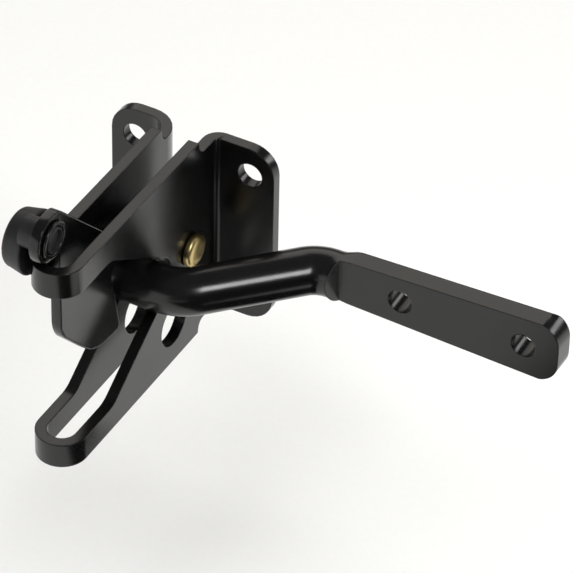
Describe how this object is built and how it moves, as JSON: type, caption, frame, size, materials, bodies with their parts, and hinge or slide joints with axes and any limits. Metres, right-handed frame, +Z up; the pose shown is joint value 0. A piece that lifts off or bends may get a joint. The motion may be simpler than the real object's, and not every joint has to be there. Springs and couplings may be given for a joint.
{
  "type": "automatic gate latch",
  "caption": "Post-mounted automatic gate latch: steel bracket with a fish mouth, a gravity pawl with a lift knob, and a jogged round strike bar.",
  "frame": {"origin": "on the post's face, midway between the two mounting ears, at the height of the pivot and the strike bar", "axes": "+X along the post's face towards the gate, +Y into the post, +Z up"},
  "size_m": [0.1326, 0.078, 0.0759],
  "materials": {
    "black_powder_coat": "semi-gloss black powder coat on steel",
    "black_plastic": "satin black moulded plastic",
    "brass_plate": "yellow passivated steel, brass coloured",
    "zinc_plate": "dull zinc plate"
  },
  "bodies": {
    "bracket": {"latch_bracket": "black_powder_coat", "pivot_rivet": "brass_plate", "pivot_spacer": "zinc_plate"},
    "pawl": {"latch_pawl": "black_powder_coat", "lift_knob": "black_plastic", "knob_retainer": "black_powder_coat"},
    "strike": {"strike_bar": "black_powder_coat"}
  },
  "joints": [
    {"name": "pawl_lift", "type": "hinge", "parent": "bracket", "child": "pawl", "pos_m": [0, -0.016, 0], "axis": [-1, 0, 0], "range_deg": [0, 45]},
    {"name": "strike_withdraw", "type": "slide", "parent": "bracket", "child": "strike", "axis": [1, 0, 0], "range_m": [0, 0.045]}
  ]
}
